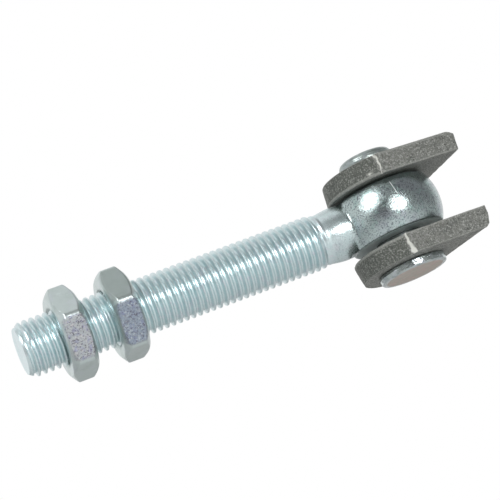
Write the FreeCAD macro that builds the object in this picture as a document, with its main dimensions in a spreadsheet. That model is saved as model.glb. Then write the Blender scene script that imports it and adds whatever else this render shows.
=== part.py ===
import FreeCAD, Part
import os
import Sketcher

# Adjustable gate hinge, to be welded on.
# A forged eye bolt with a long metric thread swings on a rivet between two punched
# steel lugs, and two thin hexagon nuts on the thread set how far the gate stands off.
# X runs along the bolt, from its free end (-X) to the lugs (+X). Z is the rivet's axis,
# upwards. The origin is where the rivet's axis crosses the bolt's. Lengths in mm.

os.makedirs("parts", exist_ok=True)
document = FreeCAD.newDocument("adjustable_gate_hinge")

# Driving dimensions, each written once
sizes = document.addObject("Spreadsheet::Sheet", "sizes")
dimensions = {
    # Eye bolt: lengths are measured from the rivet's axis
    "bolt_length": 139.5,
    "thread_diameter": 20.0,
    "thread_end": 25.6,
    "end_chamfer": 1.7,
    "runout_length": 0.9,
    "neck_diameter": 18.4,
    "neck_flare": 19.5,
    "ball_diameter": 38.4,
    "neck_blend": 0.8,
    "eye_thickness": 18.4,
    "eye_bevel": 0.8,
    # Rivet, which is the hinge pin
    "rivet_diameter": 16.0,
    "running_clearance": 0.08,
    "forged_head_diameter": 24.6,
    "forged_head_height": 2.8,
    "forged_head_round": 0.9,
    "peened_head_diameter": 20.4,
    "peened_head_height": 5.2,
    "peened_head_round": 2.6,
    # Lugs: flat bar with a punched round end
    "lug_width": 40.0,
    "lug_thickness": 7.8,
    "upper_gap": 1.0,
    "lower_gap": 2.9,
    "lower_seat_gap": 0.1,
    "punch_offset": 1.4,
    "punch_oversize": 0.3,
    "punch_draft": 1.0,
    "punch_stop": 7.3,
    "tear_inner": 0.5,
    "tear_outer": 2.0,
    "roll_over": 1.0,
    "crop_round": 2.0,
    "crop_waste": 10.0,
    "upper_lug_length": 25.2,
    "upper_lug_lean": 1.2,
    "upper_lug_slant": -0.8,
    "upper_lug_turn": 10.0,
    "lower_lug_length": 20.2,
    "lower_lug_lean": -1.6,
    "lower_lug_slant": 12.4,
    "lower_lug_turn": 5.0,
    # Thin hexagon nuts
    "nut_across_flats": 30.0,
    "nut_thickness": 9.6,
    "nut_corner_round": 2.5,
    "nut_face_diameter": 28.0,
    "nut_chamfer_angle": 36.0,
    "nut_countersink": 1.0,
    "nut_clearance": 0.09,
    "outer_nut_setback": 18.4,
    "outer_nut_turn": 50.8,
    "clamp_gap": 9.2,
    "inner_nut_turn": 55.9,
}
for row, (alias, value) in enumerate(dimensions.items(), start=1):
    sizes.set("A%d" % row, alias)
    sizes.set("B%d" % row, str(value))
    sizes.setAlias("B%d" % row, alias)
document.recompute()


def number(expression):
    """Value of an expression over the sheet, as a plain number."""
    result = sizes.evalExpression(expression)
    return float(getattr(result, "Value", result))


def new_body(label):
    """An empty body whose label is the name of its piece."""
    body = document.addObject("PartDesign::Body", label)
    body.Label = label
    return body


def new_sketch(body, name, role, height=None):
    """A sketch on one of the body's own planes, at an optional height above it."""
    sketch = body.newObject("Sketcher::SketchObject", name)
    plane = [item for item in body.Origin.OriginFeatures if item.Role == role][0]
    sketch.AttachmentSupport = [(plane, "")]
    sketch.MapMode = "FlatFace"
    if height is not None:
        sketch.setExpression("AttachmentOffset.Base.z", height)
    return sketch


def bind(sketch, kind, places, expression):
    """A named dimension that follows an expression over the sheet."""
    index = sketch.addConstraint(Sketcher.Constraint(kind, *places, number(expression)))
    name = "size_%d" % index
    sketch.renameConstraint(index, name)
    sketch.setExpression("Constraints." + name, expression)


def pin_point(sketch, geometry, point, across, along):
    """Fix a point by two expressions; one of them is None where an arc gives it."""
    for kind, axis, expression in (("DistanceX", -2, across), ("DistanceY", -1, along)):
        if expression is None:
            continue
        if number(expression) == 0:
            sketch.addConstraint(Sketcher.Constraint("PointOnObject", geometry, point, axis))
        else:
            bind(sketch, kind, (-1, 1, geometry, point), expression)


def closed_profile(sketch, corners):
    """Join corners by lines, or by an anticlockwise arc after a corner that has a centre.

    A corner is (across, along) or (across, along, centre), where the centre is a pair of
    expressions. The corner at an arc's end keeps only its first value, because the arc
    gives the other.
    """
    count = len(corners)
    points = [FreeCAD.Vector(number(c[0]), number(c[1]), 0) for c in corners]
    centres = [c[2] if len(c) > 2 else None for c in corners]
    for i in range(count):
        here, there = points[i], points[(i + 1) % count]
        if centres[i]:
            middle = FreeCAD.Vector(number(centres[i][0]), number(centres[i][1]), 0)
            circle = Part.Circle(middle, FreeCAD.Vector(0, 0, 1), (here - middle).Length)
            edge = Part.ArcOfCircle(circle, circle.parameter(here), circle.parameter(there))
        else:
            edge = Part.LineSegment(here, there)
        sketch.addGeometry(edge, False)
    for i in range(count):
        sketch.addConstraint(Sketcher.Constraint("Coincident", i, 2, (i + 1) % count, 1))
        if centres[i]:
            pin_point(sketch, i, 3, *centres[i])
        along = None if centres[i - 1] else corners[i][1]
        pin_point(sketch, i, 1, corners[i][0], along)


def round_profile(sketch, expression):
    """A circle round the sketch's origin."""
    radius = number(expression)
    circle = Part.Circle(FreeCAD.Vector(), FreeCAD.Vector(0, 0, 1), radius)
    sketch.addGeometry(circle, False)
    sketch.addConstraint(Sketcher.Constraint("Coincident", 0, 3, -1, 1))
    bind(sketch, "Radius", (0,), expression)


def revolve(body, name, sketch, axis):
    """Turn a profile through a full circle about one of its sketch's axes."""
    feature = body.newObject("PartDesign::Revolution", name)
    feature.Profile = sketch
    feature.ReferenceAxis = (sketch, [axis])
    feature.Angle = 360
    return feature


def cut_through(body, name, sketch):
    """Cut a profile through the whole body, both ways from its plane."""
    feature = body.newObject("PartDesign::Pocket", name)
    feature.Profile = sketch
    feature.SideType = "Symmetric"
    feature.Type = "ThroughAll"
    return feature


def dress(body, kind, name, base, edges, expression):
    """A fillet or chamfer on the edges of a feature that a test picks out."""
    document.recompute()
    chosen = ["Edge%d" % i for i, edge in enumerate(base.Shape.Edges, start=1)
              if not edge.Degenerated and edges(edge)]
    assert chosen, name + " found no edge"
    feature = body.newObject("PartDesign::" + kind, name)
    feature.Base = (base, chosen)
    feature.setExpression("Radius" if kind == "Fillet" else "Size", expression)
    return feature


def same(value, other):
    """True for two lengths that differ by less than a hundredth of a millimetre."""
    return abs(value - other) < 0.01


def is_circle(edge, radius):
    """True for a round edge of the given radius."""
    return isinstance(edge.Curve, Part.Circle) and same(edge.Curve.Radius, radius)


# Eye bolt: one forging. Shank, neck and ball are turned about the bolt's axis, the ball
# is milled flat above and below, and the eye is bored for the rivet.
def make_eye_bolt():
    body = new_body("eye_bolt")
    profile = new_sketch(body, "bolt_profile", "XZ_Plane")
    thread = "sizes.thread_diameter / 2"
    flare = "sizes.neck_flare / 2"
    ball = "sizes.ball_diameter / 2"
    closed_profile(profile, [
        ("-sizes.bolt_length", "0"),
        (ball, "0", ("0", "0")),
        ("-sqrt((%s)^2 - (%s)^2)" % (ball, flare), flare),
        ("-sizes.thread_end + sizes.runout_length", "sizes.neck_diameter / 2"),
        ("-sizes.thread_end", thread),
        ("-sizes.bolt_length + sizes.end_chamfer", thread),
        ("-sizes.bolt_length", thread + " - sizes.end_chamfer"),
    ])
    blank = revolve(body, "forging", profile, "H_Axis")
    neck_start = -number("sizes.thread_end")
    blend = dress(body, "Fillet", "neck_blend", blank,
                  lambda edge: is_circle(edge, number(flare)) and edge.CenterOfMass.x > neck_start,
                  "sizes.neck_blend")
    flats = blend
    for name, height, turned in (("upper_flat", "sizes.eye_thickness / 2", True),
                                 ("lower_flat", "-sizes.eye_thickness / 2", False)):
        disc = new_sketch(body, name + "_outline", "XY_Plane", height)
        round_profile(disc, ball)
        flats = body.newObject("PartDesign::Pocket", name)
        flats.Profile = disc
        flats.Type = "ThroughAll"
        flats.Reversed = turned
    hole = new_sketch(body, "eye_outline", "XY_Plane")
    bore = "sizes.rivet_diameter / 2 + sizes.running_clearance"
    round_profile(hole, bore)
    eye = cut_through(body, "eye", hole)
    dress(body, "Chamfer", "eye_bevel", eye,
          lambda edge: is_circle(edge, number(bore)), "sizes.eye_bevel")
    return body


# Rivet: a flat forged head under the lower lug, a shank that fills the upper lug's hole,
# and a head peened over the upper lug.
def make_hinge_pin():
    body = new_body("hinge_pin")
    profile = new_sketch(body, "rivet_profile", "XZ_Plane")
    shank = "sizes.rivet_diameter / 2"
    forged = "sizes.forged_head_diameter / 2"
    peened = "sizes.peened_head_diameter / 2"
    lower = "-(%s + sizes.lower_seat_gap)" % outer_face("lower")
    upper = outer_face("upper")
    closed_profile(profile, [
        ("0", lower + " - sizes.forged_head_height"),
        (forged, lower + " - sizes.forged_head_height"),
        (forged, lower),
        (shank, lower),
        (shank, upper),
        (peened, upper),
        (peened, upper + " + sizes.peened_head_height"),
        ("0", upper + " + sizes.peened_head_height"),
    ])
    rivet = revolve(body, "rivet", profile, "V_Axis")
    foot = number(lower + " - sizes.forged_head_height")
    crown = number(upper + " + sizes.peened_head_height")
    rim = dress(body, "Fillet", "forged_rim", rivet,
                lambda edge: is_circle(edge, number(forged)) and same(edge.CenterOfMass.z, foot),
                "sizes.forged_head_round")
    dress(body, "Fillet", "peened_rim", rim,
          lambda edge: is_circle(edge, number(peened)) and same(edge.CenterOfMass.z, crown),
          "sizes.peened_head_round")
    return body


def inner_face(side):
    """Height of a lug's face beside the eye, from the bolt's axis."""
    return "(sizes.eye_thickness / 2 + sizes.%s_gap)" % side


def outer_face(side):
    """Height of a lug's outside face, from the bolt's axis."""
    return "(%s + sizes.lug_thickness)" % inner_face(side)


def place(body, shift, turn, roll):
    """Bind a body's place: a shift along X, Y and Z, and turns about Z and then X."""
    shift = "create(<<vector>>; %s; %s; %s)" % shift
    rotation = "create(<<rotation>>; %s; 0; %s)" % (turn, roll)
    body.setExpression("Placement", "create(<<placement>>; %s; %s)" % (shift, rotation))


# Lugs: flat bar, cropped at one end and punched round at the other. The punch stops short
# of its own middle, so a torn step is left where the round end meets the bar's edge. The
# punched wall leans in towards the outside face, and its edge on the face beside the eye
# is rolled over, as the cropped end's is on the outside. A lug's own origin is the
# punch's middle on the face beside the eye. The hole is a little nearer the round end.
# The rivet fills the upper lug's hole. The lower lug, turned over, swivels on the rivet.
def punch_radius(face):
    """Radius of the punched end on a lug's face; the wall's draft narrows the outer one."""
    draft = " - sizes.punch_draft" if face == "outer" else ""
    return "(sizes.lug_width / 2 + sizes.punch_oversize%s)" % draft


def waste_outline(body, side, face, height):
    """Outline, on one of a lug's two faces, of what the punch takes off the bar."""
    sketch = new_sketch(body, "%s_%s_waste" % (side, face), "XY_Plane", height)
    edge = "sizes.lug_width / 2"
    stop = "-sizes.punch_stop"
    wall = "sqrt(%s^2 - sizes.punch_stop^2)" % punch_radius(face)
    beyond = "(%s + sizes.punch_oversize)" % edge
    slope = "sizes.tear_%s / (%s - %s)" % (face, edge, wall)
    torn = "%s + %s * (%s - %s)" % (stop, slope, beyond, wall)
    far = "-(%s + sizes.punch_oversize)" % beyond
    closed_profile(sketch, [
        (stop, wall, ("0", "0")),
        (stop, "-" + wall),
        (torn, "-" + beyond),
        (far, "-" + beyond),
        (far, beyond),
        (torn, beyond),
    ])
    return sketch


def crop_end(body, side, reach):
    """Cut the bar's end off along a plane that is turned by the slant and leans."""
    sketch = new_sketch(body, side + "_crop_outline", "XZ_Plane")
    turn = "create(<<rotation>>; create(<<vector>>; 0; 1; 0); -atan(%s))" % slant_of(side)
    sketch.setExpression("AttachmentOffset", "create(<<placement>>; %s; %s)" % (
        "create(<<vector>>; %s; 0; 0)" % reach, turn))
    closed_profile(sketch, [
        ("0", "0"),
        ("2 * sizes.crop_waste", "0"),
        ("2 * sizes.crop_waste", "sizes.lug_thickness"),
        ("sizes.%s_lug_lean" % side, "sizes.lug_thickness"),
    ])
    return cut_through(body, side + "_crop", sketch)


def slant_of(side):
    """Slope of a lug's cropped end, as a run along the bar over its width."""
    return "sizes.%s_lug_slant / sizes.lug_width" % side


def make_lug(side):
    body = new_body(side + "_lug")
    rim = punch_radius("inner")
    half = "sizes.lug_width / 2"
    reach = "(sizes.%s_lug_length - sizes.punch_offset)" % side
    outline = new_sketch(body, side + "_bar_outline", "XY_Plane")
    closed_profile(outline, [
        ("-" + rim, "-" + half),
        (reach + " + sizes.crop_waste", "-" + half),
        (reach + " + sizes.crop_waste", half),
        ("-" + rim, half),
    ])
    bar = body.newObject("PartDesign::Pad", side + "_bar")
    bar.Profile = outline
    bar.setExpression("Length", "sizes.lug_thickness")

    punched = body.newObject("PartDesign::SubtractiveLoft", side + "_punched_end")
    punched.Profile = waste_outline(body, side, "inner", "0")
    punched.Sections = [waste_outline(body, side, "outer", "sizes.lug_thickness")]
    punched.Ruled = True

    shoulder = "-(%s - sizes.roll_over)" % rim
    corner = new_sketch(body, side + "_roll_outline", "XZ_Plane")
    closed_profile(corner, [
        ("-" + rim, "sizes.roll_over", (shoulder, "sizes.roll_over")),
        (shoulder, "0"),
        ("-" + rim, "0"),
    ])
    roll = body.newObject("PartDesign::Groove", side + "_roll_over")
    roll.Profile = corner
    roll.ReferenceAxis = (corner, ["V_Axis"])
    roll.Midplane = True
    roll.setExpression("Angle", "2 * acos(sizes.punch_stop / %s)" % rim)

    cropped = crop_end(body, side, reach)
    end = "%s + sizes.%s_lug_lean * sqrt(1 + (%s)^2)" % (reach, side, slant_of(side))
    middle = FreeCAD.Vector(number(end), 0, number("sizes.lug_thickness"))
    dress(body, "Fillet", side + "_crop_round", cropped,
          lambda edge: same(edge.CenterOfMass.distanceToPoint(middle), 0), "sizes.crop_round")

    hole = new_sketch(body, side + "_hole_outline", "XY_Plane")
    hole.setExpression("AttachmentOffset.Base.x", "-sizes.punch_offset")
    sign, roll_angle, clearance = "", "0", ""
    if side == "lower":
        sign, roll_angle, clearance = "-", "180", " + sizes.running_clearance"
    round_profile(hole, "sizes.rivet_diameter / 2" + clearance)
    cut_through(body, side + "_hole", hole)

    turn = "sizes.%s_lug_turn" % side
    shift = ("sizes.punch_offset * cos(%s * 1 deg)" % turn,
             "sizes.punch_offset * sin(%s * 1 deg)" % turn,
             sign + inner_face(side))
    place(body, shift, turn, roll_angle)
    return body


# Thin nuts: hexagon bar with rounded corners, both faces turned to a cone, bored to run
# on the thread and countersunk at both ends. A nut's middle is at its body's origin.
def make_nut(side):
    body = new_body(side + "_nut")
    half = "sizes.nut_thickness / 2"
    corner = "sizes.nut_across_flats / sqrt(3)"
    hexagon = new_sketch(body, side + "_hexagon", "YZ_Plane")
    closed_profile(hexagon, [
        (corner, "0"),
        (corner + " / 2", "sizes.nut_across_flats / 2"),
        ("-" + corner + " / 2", "sizes.nut_across_flats / 2"),
        ("-" + corner, "0"),
        ("-" + corner + " / 2", "-sizes.nut_across_flats / 2"),
        (corner + " / 2", "-sizes.nut_across_flats / 2"),
    ])
    bar = body.newObject("PartDesign::Pad", side + "_bar")
    bar.Profile = hexagon
    bar.SideType = "Symmetric"
    bar.setExpression("Length", "sizes.nut_thickness")
    dress(body, "Fillet", side + "_corners", bar,
          lambda edge: same(edge.Length, number("sizes.nut_thickness")),
          "sizes.nut_corner_round")
    face = "sizes.nut_face_diameter / 2"
    depth = "(%s - %s) * tan(sizes.nut_chamfer_angle * 1 deg)" % (corner, face)
    for end, sign in (("near", ""), ("far", "-")):
        wedge = new_sketch(body, "%s_%s_cone" % (side, end), "XZ_Plane")
        closed_profile(wedge, [
            (sign + half, face),
            (sign + half, corner),
            (sign + "(%s - %s)" % (half, depth), corner),
        ])
        cone = body.newObject("PartDesign::Groove", "%s_%s_chamfer" % (side, end))
        cone.Profile = wedge
        cone.ReferenceAxis = (wedge, ["H_Axis"])
        cone.Angle = 360
    hole = new_sketch(body, side + "_bore_outline", "YZ_Plane")
    bore = "sizes.thread_diameter / 2 + sizes.nut_clearance"
    round_profile(hole, bore)
    drilled = cut_through(body, side + "_bore", hole)
    dress(body, "Chamfer", side + "_countersink", drilled,
          lambda edge: is_circle(edge, number(bore)), "sizes.nut_countersink")
    middle = "-(sizes.bolt_length - sizes.outer_nut_setback)"
    if side == "inner":
        middle += " + sizes.clamp_gap + sizes.nut_thickness"
    place(body, (middle, "0", "0"), "0", "sizes.%s_nut_turn" % side)
    return body


pieces = [
    make_eye_bolt(),
    make_hinge_pin(),
    make_lug("upper"),
    make_lug("lower"),
    make_nut("outer"),
    make_nut("inner"),
]
document.recompute()

for item in document.Objects:
    if "Invalid" in item.State or "Error" in item.State:
        raise RuntimeError("%s failed: %s" % (item.Name, item.State))
for piece in pieces:
    shape = piece.Shape
    if shape.isNull() or not shape.isValid() or len(shape.Solids) != 1:
        raise RuntimeError(piece.Label + " is not one valid solid")
    box = shape.BoundBox
    print("%-10s volume %9.1f  x %7.2f %7.2f  y %7.2f %7.2f  z %7.2f %7.2f" % (
        piece.Label, shape.Volume, box.XMin, box.XMax, box.YMin, box.YMax, box.ZMin, box.ZMax))
for piece in pieces:
    piece.Shape.exportStep("parts/%s.step" % piece.Label)
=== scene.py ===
# %% [markdown]
# # Adjustable gate hinge
# A forged eye bolt swings on a rivet between two steel lugs that get welded to a post.
# Two thin nuts on the bolt's thread grip the gate's frame. This lesson dresses the packed
# CAD model in Blender: each piece is worked out again as a fine surface in the same place,
# and then gets its own finish. All shapes are written in millimetres along the CAD axes:
# X runs along the bolt towards the lugs, Z is the rivet's axis, and the origin is where
# the two cross.

# %% Load the frame
import itertools
import bmesh
import bpy
import numpy as np
from mathutils import Matrix, Vector


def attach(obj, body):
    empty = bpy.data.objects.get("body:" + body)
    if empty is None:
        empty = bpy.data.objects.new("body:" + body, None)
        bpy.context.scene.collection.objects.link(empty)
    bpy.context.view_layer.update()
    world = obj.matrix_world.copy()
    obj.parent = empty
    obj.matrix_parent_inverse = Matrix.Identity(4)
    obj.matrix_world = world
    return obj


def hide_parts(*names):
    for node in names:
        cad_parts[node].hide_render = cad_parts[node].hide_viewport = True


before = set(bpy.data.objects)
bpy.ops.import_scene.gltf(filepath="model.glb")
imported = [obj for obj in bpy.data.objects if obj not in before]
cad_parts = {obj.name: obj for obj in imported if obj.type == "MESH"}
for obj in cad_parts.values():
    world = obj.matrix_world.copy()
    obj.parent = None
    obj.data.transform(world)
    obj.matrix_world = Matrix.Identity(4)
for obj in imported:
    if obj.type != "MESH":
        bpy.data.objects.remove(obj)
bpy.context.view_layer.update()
MM = 0.001
# Two faces that turn back on each other by more than this are a fold
FOLDED = np.radians(120)

# %% [markdown]
# ## Surfaces from arrays
# Every piece here is a sheet of points in rows and columns: rows follow a profile, columns
# go around an axis. One helper numbers the four-sided faces between the rows, and another
# puts the points into a mesh. Rows that meet, such as at a pole, are made with the same
# points twice, and merging them closes the skin. That is simpler than writing special
# faces for each end. A closed skin can still be folded, and its volume hardly shows it, so
# each skin is tested afterwards for open edges and for folded ones.


# %% Helpers for sheets of points
def sheet_faces(rows, columns, start=0):
    """Four-sided faces between neighbouring rows and columns of a sheet of points."""
    index = start + np.arange(rows * columns).reshape(rows, columns)
    return np.stack([index[:-1, :-1], index[:-1, 1:], index[1:, 1:], index[1:, :-1]],
                    axis=-1).reshape(-1, 4)


def skin(name, sheets, marks=None, sharp=40.0):
    """A closed mesh object from sheets of points in mm. Points that touch are merged,
    faces are turned outwards, and edges that turn more than sharp degrees stay crisp.
    A mark is a number for each point, which the finishes can read."""
    points = np.concatenate([sheet.reshape(-1, 3) for sheet in sheets])
    starts = np.cumsum([0] + [sheet.shape[0] * sheet.shape[1] for sheet in sheets])
    faces = np.concatenate([sheet_faces(*sheet.shape[:2], start)
                            for sheet, start in zip(sheets, starts)])
    mesh = bpy.data.meshes.new(name)
    mesh.from_pydata((points * MM).tolist(), [], faces.tolist())
    for mark, values in (marks or {}).items():
        mesh.attributes.new(mark, "FLOAT", "POINT").data.foreach_set(
            "value", np.concatenate([value.ravel() for value in values]).astype(np.float32))
    work = bmesh.new()
    work.from_mesh(mesh)
    bmesh.ops.remove_doubles(work, verts=work.verts, dist=2e-6)
    bmesh.ops.dissolve_degenerate(work, edges=work.edges, dist=1e-7)
    bmesh.ops.recalc_face_normals(work, faces=work.faces)
    open_edges = sum(not edge.is_manifold for edge in work.edges)
    folded = sum(edge.is_manifold and edge.calc_face_angle() > FOLDED for edge in work.edges)
    work.to_mesh(mesh)
    work.free()
    mesh.polygons.foreach_set("use_smooth", np.ones(len(mesh.polygons), bool))
    mesh.set_sharp_from_angle(angle=np.radians(sharp))
    piece = bpy.data.objects.new(name, mesh)
    bpy.context.scene.collection.objects.link(piece)
    print(name, "has", len(mesh.polygons), "faces,", open_edges, "open edges and", folded,
          "folded edges")
    return piece


def stand_for(piece, body, node, finish):
    """Let a piece ride on its body in place of the CAD node, with its finish."""
    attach(piece, body)
    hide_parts(node)
    piece.data.materials.append(finish)


def ease(value, low, high):
    """Rise smoothly from 0 at low to 1 at high."""
    part = np.clip((np.asarray(value) - low) / (high - low), 0, 1)
    return part * part * (3 - 2 * part)


def lumps(points, size, seed):
    """Smooth lumps from -1 to 1: random values at the corners of cubes of a size in mm,
    mixed by the eased distance to each corner."""
    table = np.random.default_rng(seed).uniform(-1, 1, (64, 64, 64))
    cell = points / size
    low = np.floor(cell).astype(int)
    part = cell - low
    part = part * part * (3 - 2 * part)
    total = np.zeros(points.shape[:-1])
    for corner in itertools.product((0, 1), repeat=3):
        step = np.array(corner)
        weight = np.prod(np.where(step, part, 1 - part), axis=-1)
        where = (low + step) % 64
        total += weight * table[where[..., 0], where[..., 1], where[..., 2]]
    return total


def mixed(values, passes=1):
    """Mix each place of a closed line with its neighbours: (before + 2 * here + after) / 4."""
    for _ in range(passes):
        values = (np.roll(values, 1, axis=0) + 2 * values + np.roll(values, -1, axis=0)) / 4
    return values


# %% [markdown]
# ## Finishes
# Bright zinc plating is a thin metal skin over steel. It is nearly a mirror where the steel
# below is smooth, as on the ball, and satin where the steel was sheared or forged. Clear
# passivation gives it faint blue, violet and yellow clouds. Three effects are shared by
# the finishes, so each is a node group: clouds of colour, fine speckle, and dents that
# become bump height. They read Object coordinates, so they stay on the metal as it moves.


# %% Node helpers
def add(tree, kind, settings=None, **inputs):
    """Add a node to a tree, with settings by name and inputs by socket name: a value is
    set on the socket, and another node's output is linked to it."""
    node = tree.nodes.new("ShaderNode" + kind)
    for name, value in (settings or {}).items():
        setattr(node, name, value)
    for name, value in inputs.items():
        socket = node.inputs[int(name[1:])] if name[0] == "i" and name[1:].isdigit() \
            else node.inputs[name.replace("_", " ")]
        if isinstance(value, bpy.types.NodeSocket):
            tree.links.new(value, socket)
        else:
            socket.default_value = value
    return node


def math(tree, operation, first, second=0.0, clamp=False):
    """The result of one sum on two numbers or outputs."""
    return add(tree, "Math", {"operation": operation, "use_clamp": clamp},
               i0=first, i1=second).outputs[0]


def blend(tree, factor, first, second):
    """Mix two colours by a factor from 0 to 1."""
    node = add(tree, "Mix", {"data_type": "RGBA"}, i0=factor, i6=first, i7=second)
    return node.outputs[2]


def ramp(tree, value, low, high, start=0.0, end=1.0):
    """Map a value between low and high smoothly to start and end."""
    node = add(tree, "MapRange", {"interpolation_type": "SMOOTHSTEP"}, Value=value,
               From_Min=low, From_Max=high, To_Min=start, To_Max=end)
    return node.outputs[0]


def colour(red, green, blue):
    """A colour written as 0 to 255 on screen, as the linear colour that nodes take."""
    part = np.array([red, green, blue]) / 255
    return tuple(np.where(part > 0.04045, ((part + 0.055) / 1.055) ** 2.4, part / 12.92)) + (1,)


def new_group(name, inputs, outputs):
    """An empty node group with named number, colour or vector sockets."""
    group = bpy.data.node_groups.new(name, "ShaderNodeTree")
    for (label, kind), side in ([(entry, "INPUT") for entry in inputs] +
                                [(entry, "OUTPUT") for entry in outputs]):
        group.interface.new_socket(label, in_out=side, socket_type="NodeSocket" + kind)
    return group, group.nodes.new("NodeGroupInput"), group.nodes.new("NodeGroupOutput")


# %% Effect: clouds of colour
clouds, given, result = new_group(
    "plating_clouds",
    [("Place", "Vector"), ("Main", "Color"), ("Second", "Color"), ("Third", "Color"),
     ("Scale", "Float"), ("Amount", "Float")],
    [("Colour", "Color")])
wide = add(clouds, "TexNoise", Vector=given.outputs["Place"], Scale=given.outputs["Scale"],
           Detail=3.0, Roughness=0.6).outputs["Fac"]
finer = math(clouds, "MULTIPLY", given.outputs["Scale"], 2.3)
other = add(clouds, "TexNoise", Vector=given.outputs["Place"], Scale=finer,
            Detail=2.0, Distortion=0.6).outputs["Fac"]
first = math(clouds, "MULTIPLY", ramp(clouds, wide, 0.45, 0.68), given.outputs["Amount"])
second = math(clouds, "MULTIPLY", ramp(clouds, other, 0.5, 0.72), given.outputs["Amount"])
tinted = blend(clouds, first, given.outputs["Main"], given.outputs["Second"])
tinted = blend(clouds, second, tinted, given.outputs["Third"])
clouds.links.new(tinted, result.inputs["Colour"])

# %% Effect: fine speckle
speckle, given, result = new_group(
    "fine_speckle", [("Place", "Vector"), ("Scale", "Float"), ("Cover", "Float")],
    [("Mask", "Float"), ("Height", "Float")])
grains = add(speckle, "TexNoise", Vector=given.outputs["Place"],
             Scale=given.outputs["Scale"], Detail=4.0, Roughness=0.75).outputs["Fac"]
edge = math(speckle, "SUBTRACT", 0.72, math(speckle, "MULTIPLY", given.outputs["Cover"], 0.3))
mask = add(speckle, "MapRange", {"interpolation_type": "SMOOTHSTEP"}, Value=grains,
           From_Min=edge, From_Max=math(speckle, "ADD", edge, 0.12)).outputs[0]
speckle.links.new(mask, result.inputs["Mask"])
speckle.links.new(grains, result.inputs["Height"])

# %% Effect: dents and fine scratches
dents, given, result = new_group(
    "dents_and_scratches",
    [("Place", "Vector"), ("Scale", "Float"), ("Scratches", "Float")],
    [("Height", "Float"), ("Scratch", "Float")])
soft = add(dents, "TexNoise", Vector=given.outputs["Place"], Scale=given.outputs["Scale"],
           Detail=2.0).outputs["Fac"]
turned = add(dents, "Mapping", Vector=given.outputs["Place"],
             Rotation=(0.5, 0.7, 0.9), Scale=(1.0, 14.0, 9.0)).outputs[0]
streaks = add(dents, "TexNoise", Vector=turned, Scale=260.0, Detail=1.0).outputs["Fac"]
lines = math(dents, "MULTIPLY", ramp(dents, streaks, 0.66, 0.72), given.outputs["Scratches"])
height = math(dents, "SUBTRACT", soft, math(dents, "MULTIPLY", lines, 0.4))
dents.links.new(height, result.inputs["Height"])
dents.links.new(lines, result.inputs["Scratch"])


# %% Finish helpers
def new_finish(name):
    """A material with its place on the piece, its shader and the shader's tree."""
    finish = bpy.data.materials.new(name)
    finish.use_nodes = True
    tree = finish.node_tree
    shader = tree.nodes["Principled BSDF"]
    place = add(tree, "TexCoord").outputs["Object"]
    return finish, tree, shader, place


def use(tree, group, **inputs):
    """Place one of the shared effects in a material."""
    node = add(tree, "Group", {"node_tree": group})
    for name, value in inputs.items():
        if isinstance(value, bpy.types.NodeSocket):
            tree.links.new(value, node.inputs[name])
        else:
            node.inputs[name].default_value = value
    return node.outputs


def mark(tree, name):
    """A number that the mesh carries at each point."""
    return add(tree, "Attribute", {"attribute_name": name}).outputs["Fac"]


def bump(tree, shader, height, distance, strength=1.0):
    """Feed a height from 0 to 1 to the shader's normal, as a depth in metres."""
    node = add(tree, "Bump", Height=height, Distance=distance, Strength=strength)
    tree.links.new(node.outputs["Normal"], shader.inputs["Normal"])


# %% Finish: the bolt's zinc
bolt_zinc, tree, shader, place = new_finish("bright_zinc")
smooth = mark(tree, "ball")
milled_and_painted_light = mark(tree, "milled_and_painted_light")
thread_tone = use(tree, clouds, Place=place, Main=colour(222, 238, 240),
                  Second=colour(212, 231, 234), Third=colour(226, 232, 238),
                  Scale=220.0, Amount=0.8)["Colour"]
ball_tone = use(tree, clouds, Place=place, Main=colour(190, 205, 204),
                Second=colour(176, 184, 190), Third=colour(182, 205, 202),
                Scale=150.0, Amount=0.9)["Colour"]
specks = use(tree, speckle, Place=place, Scale=1700.0, Cover=0.74)
tone = blend(tree, smooth, thread_tone, ball_tone)
speck_part = math(tree, "MULTIPLY", specks["Mask"], ramp(tree, smooth, 0, 1, 0.1, 0.85))
tone = blend(tree, speck_part, tone, colour(102, 109, 117))
# The milled flats are painted near white and nearly non-metal: painted light that lifts the shade
# on the flats, which sit in the narrow gap beside each lug.
tone = blend(tree, math(tree, "MULTIPLY", milled_and_painted_light, 0.85), tone, colour(212, 228, 227))
rough = math(tree, "ADD", ramp(tree, smooth, 0, 1, 0.3, 0.12),
             math(tree, "MULTIPLY", specks["Mask"], 0.06))
rough = math(tree, "ADD", rough, math(tree, "MULTIPLY", milled_and_painted_light, 0.25))
tree.links.new(rough, shader.inputs["Roughness"])
worn = use(tree, dents, Place=place, Scale=420.0, Scratches=0.5)
grain = math(tree, "MULTIPLY", specks["Height"], ramp(tree, smooth, 0, 1, 0.25, 1.2))
soft = math(tree, "MULTIPLY", worn["Height"], 0.6)
# One thin scratch on the ball's near side: a plane through the ball, cut off by height
spot = add(tree, "SeparateXYZ", Vector=place).outputs
aside = add(tree, "VectorMath", {"operation": "DOT_PRODUCT"}, i0=place,
            i1=(0.997, 0.0, 0.079)).outputs["Value"]
scratch = ramp(tree, math(tree, "ABSOLUTE", aside), 0.00005, 0.00016, 1.0, 0.0)
scratch = math(tree, "MULTIPLY", scratch, ramp(tree, spot["Z"], 0.0014, 0.0022))
scratch = math(tree, "MULTIPLY", scratch, ramp(tree, spot["Z"], 0.0070, 0.0077, 1.0, 0.0))
scratch = math(tree, "MULTIPLY", scratch, ramp(tree, spot["Y"], -0.012, -0.010, 1.0, 0.0))
tone = blend(tree, math(tree, "MULTIPLY", scratch, 0.65), tone, colour(240, 244, 244))
tree.links.new(tone, shader.inputs["Base Color"])
tree.links.new(math(tree, "SUBTRACT", ramp(tree, milled_and_painted_light, 0, 1, 1.0, 0.1),
                    math(tree, "MULTIPLY", scratch, 0.8)), shader.inputs["Metallic"])
bump(tree, shader, math(tree, "ADD", soft, grain), 0.00006)

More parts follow.
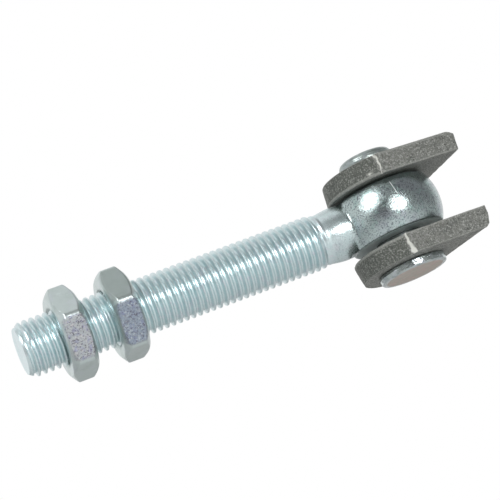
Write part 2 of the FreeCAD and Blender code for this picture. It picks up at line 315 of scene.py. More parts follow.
# %% Finish: the nuts' zinc
nut_zinc, tree, shader, place = new_finish("satin_zinc")
forged = mark(tree, "rough_flat")
painted_shade = mark(tree, "painted_shade")
plain = use(tree, clouds, Place=place, Main=colour(204, 216, 215),
            Second=colour(190, 204, 201), Third=colour(208, 217, 221),
            Scale=120.0, Amount=0.8)["Colour"]
mottled = use(tree, clouds, Place=place, Main=colour(186, 192, 194),
              Second=colour(166, 170, 194), Third=colour(207, 206, 208),
              Scale=620.0, Amount=1.0)["Colour"]
bluish = use(tree, clouds, Place=place, Main=colour(158, 170, 184),
             Second=colour(150, 160, 184), Third=colour(194, 203, 208),
             Scale=480.0, Amount=1.0)["Colour"]
# Painted shade: the marked flats are painted bluer and darker.
mottled = blend(tree, painted_shade, mottled, bluish)
specks = use(tree, speckle, Place=place, Scale=1500.0, Cover=0.72)
mottled = blend(tree, math(tree, "MULTIPLY", specks["Mask"], 0.85), mottled,
                colour(104, 98, 112))
plain = blend(tree, math(tree, "MULTIPLY", painted_shade, 0.55), plain, colour(134, 146, 142))
tone = blend(tree, forged, plain, mottled)
tree.links.new(tone, shader.inputs["Base Color"])
shader.inputs["Metallic"].default_value = 1.0
rough = math(tree, "ADD", 0.3, math(tree, "MULTIPLY", forged, 0.08))
rough = math(tree, "ADD", rough, math(tree, "MULTIPLY", specks["Mask"], 0.06))
tree.links.new(rough, shader.inputs["Roughness"])
worn = use(tree, dents, Place=place, Scale=300.0, Scratches=0.4)
pits = math(tree, "MULTIPLY", math(tree, "MULTIPLY", specks["Height"], forged), 2.0)
bump(tree, shader, math(tree, "ADD", worn["Height"], pits), 0.00014)

# %% Finish: the rivet's zinc
rivet_zinc, tree, shader, place = new_finish("hammered_zinc")
foot = mark(tree, "foot")
shaded_shank = mark(tree, "shaded_shank")
peened = mark(tree, "peened")
side = use(tree, clouds, Place=place, Main=colour(192, 202, 200),
           Second=colour(160, 172, 174), Third=colour(206, 212, 220),
           Scale=260.0, Amount=0.9)["Colour"]
side = blend(tree, math(tree, "MULTIPLY", peened, 0.5), side, colour(128, 138, 134))
tan = use(tree, clouds, Place=place, Main=colour(190, 180, 170),
          Second=colour(198, 178, 172), Third=colour(178, 182, 170),
          Scale=210.0, Amount=0.9)["Colour"]
# The shank, seen only in the gap beside the lugs, is painted dark grey: a painted shadow.
tone = blend(tree, shaded_shank, blend(tree, foot, side, tan), colour(96, 98, 98))
tree.links.new(tone, shader.inputs["Base Color"])
shader.inputs["Metallic"].default_value = 1.0
rough = math(tree, "ADD", ramp(tree, foot, 0, 1, 0.14, 0.42), math(tree, "MULTIPLY", shaded_shank, 0.5))
rough = math(tree, "ADD", rough, math(tree, "MULTIPLY", peened, 0.2))
tree.links.new(rough, shader.inputs["Roughness"])
worn = use(tree, dents, Place=place, Scale=500.0, Scratches=0.5)
bump(tree, shader, worn["Height"], 0.0002)

# %% Finish: the lugs' raw steel
raw_steel, tree, shader, place = new_finish("raw_bar_steel")
torn = mark(tree, "torn")
sheared_and_shaded = mark(tree, "sheared_and_shaded")
scale_tone = use(tree, clouds, Place=place, Main=colour(127, 129, 124),
                 Second=colour(111, 114, 110), Third=colour(140, 141, 138),
                 Scale=300.0, Amount=0.9)["Colour"]
grit = use(tree, speckle, Place=place, Scale=1650.0, Cover=0.74)
moved = add(tree, "Mapping", Vector=place, Location=(0.37, 0.11, 0.53)).outputs[0]
dark = use(tree, speckle, Place=moved, Scale=1600.0, Cover=0.7)
tone = blend(tree, math(tree, "MULTIPLY", dark["Mask"], 0.8), scale_tone, colour(66, 66, 63))
# Sheared walls are painted darker: partly the smoother steel of the cut, partly painted shade.
tone = blend(tree, math(tree, "MULTIPLY", sheared_and_shaded, 0.7), tone, colour(72, 77, 71))
grit_part = math(tree, "MULTIPLY", grit["Mask"], ramp(tree, sheared_and_shaded, 0, 1, 0.8, 0.5))
tone = blend(tree, grit_part, tone, colour(188, 190, 185))
# Rounded edges are painted lighter: partly wear, partly a painted highlight.
tone = blend(tree, math(tree, "MULTIPLY", mark(tree, "worn_and_highlit_edge"), 0.5), tone,
             colour(172, 174, 169))
# The torn wedge and the nick are painted near white: bare steel, and partly a painted highlight.
tone = blend(tree, torn, tone, colour(228, 229, 222))
tree.links.new(tone, shader.inputs["Base Color"])
shader.inputs["Metallic"].default_value = 0.55
tree.links.new(ramp(tree, torn, 0, 1, 0.55, 0.3), shader.inputs["Roughness"])
worn = use(tree, dents, Place=place, Scale=260.0, Scratches=1.0)
height = math(tree, "ADD", worn["Height"], math(tree, "MULTIPLY", grit["Height"], 1.2))
bump(tree, shader, height, 0.0003)
print("finishes:", ", ".join(item.name for item in bpy.data.materials))

# %% [markdown]
# ## The eye bolt
# On the real hinge this is one forging: bar is upset into a ball, the ball is milled flat
# on two sides and bored, and the thread is rolled on afterwards. A screw modifier could
# turn the thread, but its rows would not join the neck. So the whole bolt is one skin
# around X with 96 columns. In the thread, each row is slanted along the helix, so the
# crest and the root each lie on a row and stay crisp.

# %% Thread profile
PITCH = 2.5
CREST = 9.9
ROOT = 8.46
FREE_END = -139.5
THREAD_END = -25.6
# Places along one pitch from a crest, and the profile's depth there from 0 to 1
flank = np.array([0, 0.17, 0.3, 0.44, 0.64, 0.84, 0.98, 1.25])
depth = np.array([0.035, 0.0, 0.06, 0.27, 0.55, 0.84, 0.98, 1.0])
one_pitch = np.concatenate([flank, PITCH - flank[-2:0:-1]])
one_depth = np.concatenate([depth, depth[-2:0:-1]])
around = np.radians(np.linspace(-90, 270, 97))
# A crest passes the underside of the bolt, at 281.8 degrees from +Y, at X = -93.71
turns = np.arange(-20, 30)
start = -93.71 + PITCH * (turns[:, None] + one_pitch / PITCH).ravel()
drift = PITCH * (np.degrees(around) - 281.8) / 360
along = np.clip(start[:, None] + drift, FREE_END, THREAD_END)
cut = np.broadcast_to(np.tile(one_depth, len(turns))[:, None], along.shape)
print("thread rows:", len(start), "from", round(start[0], 1), "to", round(start[-1], 1))


# %% Thread surface
def neck_radius(x):
    """The neck widens in a straight line from the thread to the ball."""
    return 9.2 + (x + 24.7) * (9.75 - 9.2) / (24.7 - 16.54)


# The thread fades into the neck over its last two turns, and the end is turned to a cone
FADE_START = -30.5
fade = ease(along, FADE_START, THREAD_END)
radius = CREST - cut * (CREST - ROOT)
radius = radius * (1 - fade) + neck_radius(along) * fade
cone = 8.25 + 0.66 * (along - FREE_END)
radius = np.minimum(radius, cone)
thread = np.stack([along, radius * np.cos(around), radius * np.sin(around)], axis=-1)
end_rings = np.array([8.1, 7.8, 6.0, 4.0, 2.0, 0.0])
end_in = np.array([0.0, 0.03, 0.1, 0.14, 0.16, 0.17])
end_face = np.stack([np.broadcast_to((FREE_END + end_in)[:, None], (6, 97)),
                     end_rings[:, None] * np.cos(around),
                     end_rings[:, None] * np.sin(around)], axis=-1)
end_face = np.concatenate([thread[:1], end_face])
print("thread reaches radius", round(radius.max(), 2))

# %% Ball eye
BALL = 19.2
HALF_EYE = 9.2
EDGE = 0.7
BORE = 8.08
# Profile of the eye around Z: the sphere, then a rounded edge, up to the flat
flat_edge = np.sqrt(BALL ** 2 - HALF_EYE ** 2)
sphere_top = np.arcsin((HALF_EYE - 0.6 * EDGE) / BALL)
latitude = np.linspace(0, sphere_top, 60)
lower_out, lower_up = BALL * np.cos(latitude), BALL * np.sin(latitude)
bend = np.linspace(0, 1, 14)[1:]
corner_out = ((1 - bend) ** 2 * lower_out[-1] + 2 * bend * (1 - bend) * (flat_edge + 0.02)
              + bend ** 2 * (flat_edge - EDGE))
corner_up = (1 - bend) ** 2 * lower_up[-1] + 2 * bend * (1 - bend) * HALF_EYE + bend ** 2 * HALF_EYE
out = np.concatenate([lower_out, corner_out])
up = np.concatenate([lower_up, corner_up])
run = np.concatenate([latitude / sphere_top * 0.86, 0.86 + 0.14 * bend])
FLAT = flat_edge - EDGE


def ball_row(x):
    """Half rows of the eye at places along X, from its waist up to its flat. Each point
    is at a distance from Z that the eye's profile gives for its height, and the row ends
    on the flat's edge, or where the row closes over the middle."""
    reach = np.abs(x)
    last = np.interp(-reach, -out, run)
    step = np.linspace(0, 1, 25)
    closed = ease(reach, 6.0, FLAT)[:, None]
    share = (1 - closed) * step + closed * np.sin(step * np.pi / 2)
    at = last[:, None] * share
    away = np.interp(at, run, out)
    y = np.sqrt(np.clip(away ** 2 - x[:, None] ** 2, 0, None))
    y[:, -1] = np.where(reach < FLAT, y[:, -1], 0)
    return y, np.interp(at, run, up)


def two_sides(x, y, z):
    """The +Y and the -Y side of the eye, as 49 columns each. They meet over the middle
    where a row closes, and part at the flats."""
    x = np.broadcast_to(x[:, None], (len(x), 49))
    up_and_over = np.concatenate([-z[:, ::-1], z[:, 1:]], axis=1)
    wide = np.concatenate([y[:, ::-1], y[:, 1:]], axis=1)
    return (np.stack([x, wide, up_and_over], axis=-1),
            np.stack([x, -wide, -up_and_over], axis=-1))


# %% Neck, its blend into the ball, and the bore
part = np.linspace(0, 1, 7)
BLEND = 1.3
centre_out = 9.75 + BLEND
centre_x = -np.sqrt((BALL + BLEND) ** 2 - centre_out ** 2)
swing = -np.pi / 2 + part * (np.arctan2(-centre_out, -centre_x) + np.pi / 2)
blend_x = centre_x + BLEND * np.cos(swing)
blend_out = centre_out + BLEND * np.sin(swing)
straight = np.linspace(THREAD_END, blend_x[0], 36)[:-1]
neck_x = np.concatenate([straight, blend_x[:-1]])
barrel = 0.25 * np.sin(np.pi * (straight - straight[0]) / (blend_x[0] - straight[0]))
neck_out = np.concatenate([neck_radius(straight) + barrel, blend_out[:-1]])
neck = np.stack([np.broadcast_to(neck_x[:, None], (len(neck_x), 97)),
                 neck_out[:, None] * np.cos(around), neck_out[:, None] * np.sin(around)], axis=-1)
along_neck = (neck_x - THREAD_END) / (blend_x[-1] - THREAD_END)
uneven = 0.05 * lumps(neck, 3.0, 31) * np.sin(np.pi * along_neck)[:, None]
neck[..., 1:] *= (1 + uneven / neck_out[:, None])[..., None]
# The cutter that mills the flats also skims the neck, out to the ball's own radius
skimmed = ease(-np.hypot(neck[..., 0], neck[..., 1]), -BALL - 0.15, -BALL + 0.15)
level = HALF_EYE + (1 - skimmed) * 2.0
neck[..., 2] = np.clip(neck[..., 2], -level, level)
polar = np.linspace(np.arccos(-blend_x[-1] / BALL), np.pi, 92)
ball_x = np.sort(np.append(-BALL * np.cos(polar), [-FLAT, FLAT]))
far_side, near_side = two_sides(ball_x, *ball_row(ball_x))
first_row = np.concatenate([far_side[:1], near_side[:1, 1:]], axis=1)
neck = np.concatenate([neck, first_row])
open_rows = np.abs(ball_x) <= FLAT
brim = np.concatenate([far_side[open_rows, -1], near_side[open_rows, 0][-2::-1]])
angle = np.arctan2(brim[:, 1], brim[:, 0])


def brim_ring(out, up):
    """A ring around Z with a point below or above each point of the flat's brim."""
    return np.stack([out * np.cos(angle), out * np.sin(angle), np.full(len(angle), up)], axis=-1)


middle = brim * (0.5, 0.5, 1.0) + brim_ring(BORE + 0.8, 0) * (0.5, 0.5, 0)
upper = [brim, middle, brim_ring(BORE + 0.8, HALF_EYE), brim_ring(BORE, HALF_EYE - 0.8)]
bore = np.stack(upper + [ring * (1, 1, -1) for ring in upper[::-1]])

# %% Eye bolt piece
sheets = [end_face, thread, neck, far_side, near_side, bore]
on_ball = [0.35 * ease(sheet[..., 0], -26.5, -24.5) + 0.65 * ease(sheet[..., 0], -18.6, -16.4)
           for sheet in sheets]
# The milled flats' mark, which also carries their painted light
on_flat = [ease(np.abs(sheet[..., 2]), HALF_EYE - 0.12, HALF_EYE - 0.02)
           * ease(sheet[..., 0], -16.6, -16.1) for sheet in sheets]
eye_bolt = skin("eye_bolt_forging", sheets, {"ball": on_ball, "milled_and_painted_light": on_flat})
stand_for(eye_bolt, "eye_bolt", "eye_bolt", bolt_zinc)

# %% [markdown]
# ## The nuts
# A thin nut is cut from hexagon bar with rounded corners, and both faces are turned to a
# cone, which leaves a curved edge on every flat. Cutting a bar with a cone would give
# that edge too, but with no softness. Here each column of points is the nut's section
# at that angle: the cone's edge lies where the section crosses the hexagon, so the
# curve comes by itself, and each corner of the section is eased before it is turned.

# %% Nut section
NUT_FLATS = 30.0
NUT_THICK = 9.6
NUT_ROUND = 2.5
NUT_FACE = 14.0
NUT_CONE = np.tan(np.radians(36))
NUT_BORE = 10.09


def hexagon(angle, turn):
    """Distance from the axis to a hexagon with round corners: the flat's, or between the
    two places where a corner's circle touches its flats, the far side of that circle."""
    off = (angle - turn + np.pi / 6) % (np.pi / 3) - np.pi / 6
    corner = (NUT_FLATS / 2 - NUT_ROUND) / np.cos(np.pi / 6)
    touch = np.arctan2(NUT_ROUND / 2, corner + NUT_ROUND * np.cos(np.pi / 6))
    near = np.clip(off, -touch, touch)
    arc = corner * np.cos(near) + np.sqrt(NUT_ROUND ** 2 - (corner * np.sin(near)) ** 2)
    flat = NUT_FLATS / 2 / np.cos(np.pi / 6 - np.abs(off))
    return np.where(np.abs(off) < touch, arc, flat), off


def eased_line(corners, reach, steps=4):
    """Cut each corner of a line of points by a small curve that starts and ends a reach
    away from it. Corners are in rows, with out and along in the last axis."""
    rows = [corners[:1]]
    for before, corner, after in zip(corners[:-2], corners[1:-1], corners[2:]):
        back, on = before - corner, after - corner
        short = np.minimum(reach, 0.45 * np.linalg.norm(back, axis=-1, keepdims=True))
        ahead = np.minimum(reach, 0.45 * np.linalg.norm(on, axis=-1, keepdims=True))
        leave = corner + back / np.linalg.norm(back, axis=-1, keepdims=True) * short
        arrive = corner + on / np.linalg.norm(on, axis=-1, keepdims=True) * ahead
        bend = np.linspace(0, 1, steps)[:, None, None]
        rows.append((1 - bend) ** 2 * leave + 2 * bend * (1 - bend) * corner + bend ** 2 * arrive)
    return np.concatenate(rows + [corners[-1:]])


def nut_surface(middle, turn):
    """A nut as one sheet: its section, column by column, closed through the bore."""
    angle = np.linspace(0, 2 * np.pi, 241)
    hexa, off = hexagon(angle, np.radians(turn))
    half = NUT_THICK / 2
    edge = half - (hexa - NUT_FACE) * NUT_CONE
    same = np.ones_like(angle)
    wall = np.linspace(-1, 1, 9)[1:-1]
    corners = [(NUT_BORE * same, 0 * same), (NUT_BORE * same, (half - 1.0) * same),
               (11.1 * same, half * same), (12.6 * same, half * same),
               (NUT_FACE * same, half * same), (hexa, edge)]
    corners += [(hexa, edge * -step) for step in wall]
    corners += [(out, -along) for out, along in corners[5::-1]]
    line = eased_line(np.stack([np.stack(pair, axis=-1) for pair in corners]), 0.35)
    out, along = line[..., 0], line[..., 1]
    points = np.stack([middle + along, out * np.cos(angle), out * np.sin(angle)], axis=-1)
    on_wall = ease(out, 14.3, 14.9)
    return points, on_wall, angle, off


def make_nut(name, middle, turn, rough, shaded_flats, node):
    """One nut: some of its flats keep the rough skin of the bar, some get painted shade, darker and
    bluer, and all are a little uneven. Flats are counted from the corner at the turn."""
    points, on_wall, angle, off = nut_surface(middle, turn)
    flat = np.floor(((np.degrees(angle) - turn) % 360) / 60).astype(int) % 6
    inside = ease(np.pi / 6 - np.abs(np.abs(off) - np.pi / 6), 0.02, 0.07)
    rough_flat = on_wall * np.array(rough)[flat] * inside
    rough_flat *= ease(NUT_THICK / 2 - np.abs(points[..., 0] - middle), 0.5, 1.2)
    out = np.linalg.norm(points[..., 1:], axis=-1, keepdims=True)
    push = 0.035 * lumps(points, 4.0, 3) + 0.05 * lumps(points, 0.9, 4) * rough_flat
    push *= ease(out[..., 0], 12.0, 14.0)
    points[..., 1:] *= 1 + (push - 0.05)[..., None] * ease(out, 12.0, 14.0) / out
    # How much painted shade each flat gets
    painted_shade = on_wall * np.array(shaded_flats)[flat] * inside
    piece = skin(name, [points], {"rough_flat": [rough_flat], "painted_shade": [painted_shade]}, sharp=50.0)
    stand_for(piece, node, node, nut_zinc)


make_nut("outer_thin_nut", -121.1, 50.8, (0, 0, 1, 0, 1, 0), (0, 0.1, 0, 0.2, 0, 0), "outer_nut")
make_nut("inner_thin_nut", -102.3, 55.9, (0, 0, 1, 0, 1, 0), (0, 1, 1, 0.2, 1, 0), "inner_nut")

# %% [markdown]
# ## The rivet
# The rivet is cold headed: one head is struck flat in a die, and the other is spun over
# by a rolling punch once the lugs are on, which leaves rings and a thin flash beside the
# lug. A lathed profile fits both heads. A perfect lathe shape looks like a computer's
# though, so the rims are pushed in and out by a few hundredths of a millimetre.

# %% Rivet surface
rivet_line = np.array([
    (0.0, -22.62), (4.0, -22.66), (8.0, -22.76), (10.4, -22.8), (11.8, -22.78), (12.24, -22.6),
    (12.3, -22.2), (12.38, -21.2), (12.46, -20.15), (12.3, -20.0), (8.0, -20.0),
    (8.0, 0.0),
    (8.0, 18.02), (10.05, 18.02), (10.26, 18.2), (10.26, 18.7), (9.9, 18.98), (10.1, 19.4),
    (10.24, 20.4), (10.2, 20.9), (9.98, 21.1), (9.95, 21.4), (9.75, 21.9), (9.3, 22.5),
    (8.5, 22.95), (7.2, 23.15), (6.6, 23.15),
    (5.9, 22.95), (5.0, 22.95), (4.2, 23.1), (2.5, 23.12), (1.4, 22.95), (0.0, 22.9)])
rivet_angle = np.linspace(0, 2 * np.pi, 145)
rivet_line = eased_line(rivet_line[:, None, :], 0.5, 5)[:, 0]
out, up = rivet_line[:, :1], rivet_line[:, 1:]
rivet_points = np.stack([out * np.cos(rivet_angle), out * np.sin(rivet_angle),
                         np.broadcast_to(up, (len(up), 145))], axis=-1)
uneven = lumps(rivet_points, 5.0, 8) * 0.06 + lumps(rivet_points, 1.6, 9) * 0.05 - 0.05
rim = ease(out, 9.0, 9.8)
# The lower head is a little fuller on the side of the thread
bulge = 0.55 * np.exp(-((rivet_angle - np.radians(195)) / np.radians(25)) ** 2)
uneven = uneven + bulge * np.exp(-((up + 21.3) / 0.7) ** 2) * ease(out, 12.0, 12.2)
rivet_points[..., :2] *= 1 + (uneven * rim / np.maximum(out, 1))[..., None]
on_foot = ease(-rivet_points[..., 2], 22.5, 22.58) * ease(11.0 - out, 0.0, 0.6)
on_shaded_shank = ease(-out, -8.6, -8.2) * ease(-np.abs(rivet_points[..., 2]), -18.4, -17.9)
on_peened = ease(rivet_points[..., 2], 17.9, 18.1)
marks = {"foot": [on_foot], "shaded_shank": [on_shaded_shank], "peened": [on_peened]}
rivet = skin("rivet_peened", [rivet_points], marks, sharp=60.0)
stand_for(rivet, "upper_lug_and_rivet", "hinge_pin", rivet_zinc)

# %% [markdown]
# ## The lugs
# Each lug is a length of flat bar. A punch takes the end off in a half circle and stops
# short of the bar's edge, so the last bit tears and leaves a wedge of bare steel, painted
# near white: partly its own bare metal, partly a painted highlight. The other end
# is cropped. A cut and bevelled block would give this shape, with edges as straight as a
# ruler. So a lug is a wall between two outlines, one for each face: the points at the
# same place on both outlines are joined, the edges are rounded along the way, and then
# the whole skin gets the small lumps of rolled and sheared steel. At the torn step the
# outline turns so sharply that rounding would push neighbours past each other, and the
# skin would fold. There the points are moved towards the hole, and kept in their order.

# %% Lug outlines
LUG_HALF = 20.0
LUG_THICK = 7.8
PUNCH_STOP = 7.3
HOLE_BACK = 1.4
LEAST_TURN = 4e-4
ROUND_INNER, ROUND_OUTER = 20.3, 19.3
TEAR_INNER, TEAR_OUTER = 0.5, 2.0
SKIN_IN = 0.09
LUGS = {
    "upper": dict(reach=23.8, lean=1.2, slant=-0.8, turn=10.0, z=10.2, flip=1,
                  belly=0.0, bright=(0.8, 1.0), bow=0.35, round=2.9, soft=1.3,
                  nick=(-10.5, -17.1, 1.8)),
    "lower": dict(reach=18.8, lean=-1.6, slant=12.4, turn=5.0, z=-12.1, flip=-1,
                  belly=0.55, bright=(0.1, 0.75), bow=0.0, round=2.0, soft=0.5,
                  nick=None),
}


def lug_outline(lug, rim, tear, lean):
    """Outline of one face, from the middle of the cropped end by +Y to the round end and
    back by -Y: crop, bar's edge, torn step, half circle, and the same mirrored."""
    wall = np.sqrt(rim ** 2 - PUNCH_STOP ** 2)
    torn = -PUNCH_STOP + tear
    half_slant = lug["slant"] / 2
    end = lug["reach"] + lean * np.hypot(1, lug["slant"] / 40)
    start = np.arccos(-PUNCH_STOP / rim)
    crop = np.linspace(0, 1, 38)
    edge = np.linspace(0, 1, 60)[1:]
    step = np.linspace(0, 1, 13)[1:]
    sweep = np.linspace(start, np.pi, 66)[1:]

    def half(side):
        low = end + side * half_slant
        xs = [end + side * half_slant * crop, low + (torn - low) * edge,
              torn + (-PUNCH_STOP - torn) * step, rim * np.cos(sweep)]
        ys = [side * LUG_HALF * crop, side * LUG_HALF + 0 * edge,
              side * (LUG_HALF + (wall - LUG_HALF) * step), side * rim * np.sin(sweep)]
        kind = [0 * crop, 0 * edge + 1, 0 * step + 2, 0 * sweep + 3]
        across = [0 * crop, 0 * edge, step, 0 * sweep + 1]
        return (np.stack([np.concatenate(xs), np.concatenate(ys)], axis=-1),
                np.concatenate(kind), np.concatenate(across))

    plus, kinds, across = half(1)
    minus = half(-1)[0]
    points = np.concatenate([plus, minus[-2:0:-1]])
    kinds = np.concatenate([kinds, kinds[-2:0:-1]])
    across = np.concatenate([across, across[-2:0:-1]])
    return mixed(points), kinds, across


def in_order(rows):
    """Turn points about the hole a little, so that none lies behind the one before it:
    the bearing is b = max(b, every earlier b), plus a small step for each point."""
    x, y = rows[..., 0] + HOLE_BACK, rows[..., 1]
    steps = LEAST_TURN * np.arange(rows.shape[-2])
    bearing = np.unwrap(np.arctan2(y, x), axis=-1) - steps
    bearing = np.maximum.accumulate(bearing, axis=-1) + steps
    away = np.hypot(x, y)
    return np.stack([away * np.cos(bearing) - HOLE_BACK, away * np.sin(bearing)], axis=-1)


def closed(rows):
    """Repeat the first column at the end, so a sheet closes on itself."""
    return np.concatenate([rows, rows[:, :1]], axis=1)


def soft_kind(kinds, which):
    """How far each place of the outline belongs to one kind, softened at its ends."""
    return mixed((kinds == which).astype(float))


def make_lug(name, side, body, node):
    """One lug: a wall from the inner to the outer outline with rounded edges, two faces
    and the hole, roughened, turned and put in its place."""
    lug = LUGS[side]
    inner, kinds, across = lug_outline(lug, ROUND_INNER, TEAR_INNER, 0.0)
    lean = lug["lean"] * (1 - lug["round"] / LUG_THICK)
    outer = lug_outline(lug, ROUND_OUTER, TEAR_OUTER, lean)[0]
    tangent = np.roll(inner, -1, axis=0) - np.roll(inner, 1, axis=0)
    tangent /= np.linalg.norm(tangent, axis=-1, keepdims=True)
    inward = np.stack([-tangent[:, 1], tangent[:, 0]], axis=-1)
    crop, bar, tear, punched = (soft_kind(kinds, which) for which in range(4))
    middle = np.array([-HOLE_BACK, 0.0])
    spoke = middle - inner
    spoke /= np.linalg.norm(spoke, axis=-1, keepdims=True)
    beside = np.clip(4 * mixed((kinds == 2).astype(float), 4), 0, 1)[:, None]
    inward = inward * (1 - beside) + spoke * beside
    inward /= np.linalg.norm(inward, axis=-1, keepdims=True)
    soft_inner = 0.45 * crop + 0.5 * bar + 0.25 * tear + 1.0 * punched
    soft_outer = mixed(0.3 * crop + lug["soft"] * bar + 0.2 * tear + 0.3 * punched, 3)
    turn = np.linspace(0, np.pi / 2, 6)[:, None]
    back_turn = turn[::-1]
    share = np.linspace(0, 1, 17)[1:-1, None]
    low, high = soft_inner / LUG_THICK, 1 - soft_outer / LUG_THICK
    height = np.concatenate([low * (1 - np.sin(back_turn)), low + (high - low) * share,
                             high + (1 - high) * np.sin(turn)])
    back = np.concatenate([soft_inner * (1 - np.cos(back_turn)), 0 * soft_inner * share,
                           soft_outer * (1 - np.cos(turn))])
    belly = lug["belly"] * np.sin(np.pi * height) ** 2 * crop
    plan = in_order(inner + (outer - inner) * height[..., None]
                    + inward * (back - belly)[..., None])
    end = lug["reach"] + lean * np.hypot(1, lug["slant"] / 40)

    def ceiling(place):
        """Height of the outer face, which curves down to the cropped end."""
        gap = (end + lug["slant"] * place[..., 1] / 40 - place[..., 0]) \
            / np.hypot(1, lug["slant"] / 40)
        rest = np.clip(lug["round"] - gap, 0, lug["round"])
        return LUG_THICK - lug["round"] + np.sqrt(lug["round"] ** 2 - rest ** 2)

    wall = np.concatenate([plan, (height * ceiling(plan[-1]))[..., None]], axis=-1)

    # The rivet sits tight in the upper lug and turns in the lower one
    hole = 8.0 if side == "upper" else 8.08
    inward_rows = np.linspace(0, 1, 34)[1:, None, None] ** 1.2
    flats = []
    for row in (plan[0], plan[-1]):
        spoke = (row - middle) / np.linalg.norm(row - middle, axis=-1, keepdims=True)
        flats.append(row * (1 - inward_rows) + (middle + hole * spoke) * inward_rows)
    levels = [0 * flats[0][..., 0], ceiling(flats[1])]
    faces = [np.concatenate([flat, level[..., None]], axis=-1)
             for flat, level in zip(flats, levels)]
    points = closed(np.concatenate([faces[0][::-1], wall, faces[1], faces[0][-1:]]))

    walls = np.zeros(points.shape[:2])
    first = len(faces[0])
    walls[first:first + len(wall)] = 1
    kind_of = {label: closed(np.broadcast_to(value, walls[:, :-1].shape))
               for label, value in (("tear", tear), ("punched", punched), ("crop", crop))}
    place = closed(np.broadcast_to(across, walls[:, :-1].shape))
    place = place + 0.22 * lumps(points, 1.1, 25)
    place += lug["bow"] * np.sin(np.pi * points[..., 2] / LUG_THICK)
    low, high = lug["bright"]
    # The torn wedge's mark, painted near white later: bare steel, and partly a painted highlight
    torn = walls * ease(kind_of["tear"], 0.2, 0.8) * ease(place, low - 0.1, low + 0.1)
    torn *= ease(-place, -high - 0.15, -high + 0.1)
    # Sheared walls, which are painted darker: partly their own steel, partly painted shade
    sheared_and_shaded = walls * np.clip(kind_of["punched"] + 0.6 * kind_of["crop"], 0, 1)
    near_hole = ease(np.hypot(points[..., 0] + HOLE_BACK, points[..., 1]), hole + 1.5, hole + 4)
    rough = 0.05 * lumps(points, 2.6, 21) + 0.03 * lumps(points, 0.8, 22)
    rough += sheared_and_shaded * 0.05 * lumps(points * (1, 1, 0.25), 0.7, 23)
    rough += torn * 0.12 * lumps(points, 0.6, 24)
    if lug["nick"]:
        away = np.linalg.norm((points - lug["nick"]) / (0.85, 0.85, 0.55), axis=-1)
        nick = np.exp(-away ** 2) * walls
        rough += 0.2 * nick
        torn = np.clip(torn + 0.9 * nick * (0.6 + lumps(points, 0.5, 26)), 0, 1)
    normal = np.zeros(points.shape)
    rest = np.ones((len(share) + len(turn), 1))
    sideways = np.concatenate([np.sin(turn), rest])
    upright = np.concatenate([-np.cos(turn), 0 * rest])
    normal[first:first + len(wall), :, :2] = -sideways[..., None] * closed(
        np.broadcast_to(inward, wall.shape[:2] + (2,)))
    normal[first:first + len(wall), :, 2] = upright
    normal[:first, :, 2] = -1
    normal[first + len(wall):, :, 2] = 1
    points = points + normal * ((rough - SKIN_IN) * near_hole)[..., None]

    angle = np.radians(lug["turn"])
    x, y, z = points[..., 0] + HOLE_BACK, points[..., 1] * lug["flip"], points[..., 2] * lug["flip"]
    placed = np.stack([x * np.cos(angle) - y * np.sin(angle),
                       x * np.sin(angle) + y * np.cos(angle), z + lug["z"]], axis=-1)
    # The middle rows of both rounded edges are painted lighter: partly wear, partly a painted
    # highlight
    edge = np.zeros(points.shape[:2])
    edge[first + 2:first + 6] = edge[first + len(wall) - 5:first + len(wall) - 2] = 1
    edge *= 1 - torn
    marks = {"torn": [torn], "sheared_and_shaded": [sheared_and_shaded], "worn_and_highlit_edge": [edge]}
    piece = skin(name, [placed], marks, sharp=45.0)
    stand_for(piece, body, node, raw_steel)


make_lug("upper_lug_plate", "upper", "upper_lug_and_rivet", "upper_lug")
make_lug("lower_lug_plate", "lower", "lower_lug", "lower_lug")

# %% [markdown]
# ## Camera
# The photograph was taken with a long lens from a little below, with the camera rolled.
# Its place was worked out from the thread's crests, the nuts and the rivet's heads.

# %% Camera
azimuth, elevation, roll = np.radians([14.59, 12.45, -23.49])
forward = np.array([np.sin(azimuth) * np.cos(elevation), np.cos(azimuth) * np.cos(elevation),
                    np.sin(elevation)])
level = np.cross(forward, (0, 0, 1))
level /= np.linalg.norm(level)
above = np.cross(level, forward)
right = np.cos(roll) * level + np.sin(roll) * above
up = -np.sin(roll) * level + np.cos(roll) * above
# The point looked at and its distance in mm, and the focal length in pixels of a picture
AIM, DISTANCE = np.array([-51.54, 0.0, 5.66]), 842.6
FOCAL, PICTURE, SENSOR = 2418.8, 500, 36.0
camera_place = AIM - DISTANCE * forward
lens = bpy.data.cameras.new("long_lens")
lens.sensor_width = SENSOR
lens.lens = FOCAL / PICTURE * SENSOR
lens.clip_start, lens.clip_end = 0.05, 20.0
camera = bpy.data.objects.new("camera", lens)
camera.matrix_world = Matrix([[*row, place * MM] for row, place in
                              zip(np.stack([right, up, -forward], axis=1), camera_place)]
                             + [[0, 0, 0, 1]])
bpy.context.scene.collection.objects.link(camera)
bpy.context.scene.camera = camera
print("camera at", np.round(camera_place, 1).tolist(), "mm, lens", round(lens.lens, 1), "mm")

# %% [markdown]
# ## Light
# Two round soft lamps make the two white spots on the ball and the white band along the
# thread. Their directions were worked out from where the ball shows them. The white all
# around is the world. Metal sees that white too, but the camera's side of a studio is
# dark, so the world dims there for reflections only. The floor is pale and far below.


# %% Lamps
def round_lamp(name, direction, distance, width, radiance):
    """A disc that faces the ball. Its power follows from the brightness it should show:
    power is brightness times pi times its area."""
    lamp = bpy.data.lights.new(name, "AREA")
    lamp.shape = "DISK"
    lamp.size = width
    lamp.energy = radiance * np.pi * np.pi * (width / 2) ** 2
    towards = Vector(direction).normalized()
    thing = bpy.data.objects.new(name, lamp)
    thing.location = towards * distance
    thing.rotation_euler = towards.to_track_quat("Z", "Y").to_euler()
    bpy.context.scene.collection.objects.link(thing)
    print(name, "power", round(lamp.energy, 2))


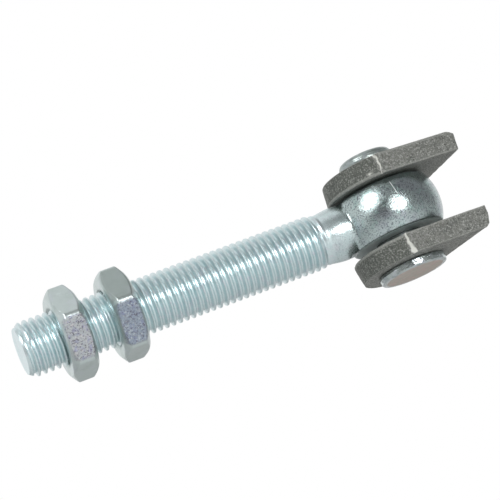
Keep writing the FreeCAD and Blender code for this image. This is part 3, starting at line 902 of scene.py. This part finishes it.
round_lamp("left_lamp", (-0.59, -0.59, 0.54), 0.9, 0.40, 7.5)
round_lamp("front_lamp", (0.18, -0.975, 0.08), 0.9, 0.36, 7.5)

# %% World
world = bpy.data.worlds.new("white_studio")
world.use_nodes = True
bpy.context.scene.world = world
tree = world.node_tree
sky = tree.nodes["Background"]
direction = add(tree, "TexCoord").outputs["Generated"]


def towards(x, y, z):
    """How far a ray points along a direction, from -1 to 1."""
    return add(tree, "VectorMath", {"operation": "DOT_PRODUCT"}, i0=direction,
               i1=(x, y, z)).outputs["Value"]


shade = ramp(tree, towards(0.84, -0.22, 0.50), -1.0, 1.0, 0.88, 0.3)
camera_side = ramp(tree, towards(-0.35, -0.90, -0.25), 0.55, 0.95, 1.0, 0.35)
shade = math(tree, "MULTIPLY", shade, camera_side)
shade = math(tree, "MAXIMUM", shade, ramp(tree, towards(0, 1, 0), 0.05, 0.6, 0.0, 0.9))
shade = math(tree, "MAXIMUM", shade, ramp(tree, towards(0, 0, 1), 0.8, 0.97, 0.0, 0.85))
seen_in_metal = math(tree, "MAXIMUM", shade, ramp(tree, towards(0, 0, -1), 0.35, 0.7, 0.0, 0.85))
rays = add(tree, "LightPath").outputs
strength = blend(tree, rays["Is Glossy Ray"], (0.5, 0.5, 0.5, 1), seen_in_metal)
seen = math(tree, "MAXIMUM", rays["Is Camera Ray"], rays["Is Transmission Ray"])
tree.links.new(blend(tree, seen, strength, (1, 1, 1, 1)), sky.inputs["Color"])

# %% Floor
floor_mesh = bpy.data.meshes.new("floor")
floor_mesh.from_pydata([(-3, -3, -0.3), (3, -3, -0.3), (3, 3, -0.3), (-3, 3, -0.3)], [],
                       [(0, 1, 2, 3)])
floor = bpy.data.objects.new("floor", floor_mesh)
bpy.context.scene.collection.objects.link(floor)
floor_paint, tree, shader, place = new_finish("pale_floor")
shader.inputs["Base Color"].default_value = (0.86, 0.86, 0.86, 1)
shader.inputs["Roughness"].default_value = 0.8
floor.data.materials.append(floor_paint)

# %% Finish
bpy.context.scene.view_settings.view_transform = "Standard"
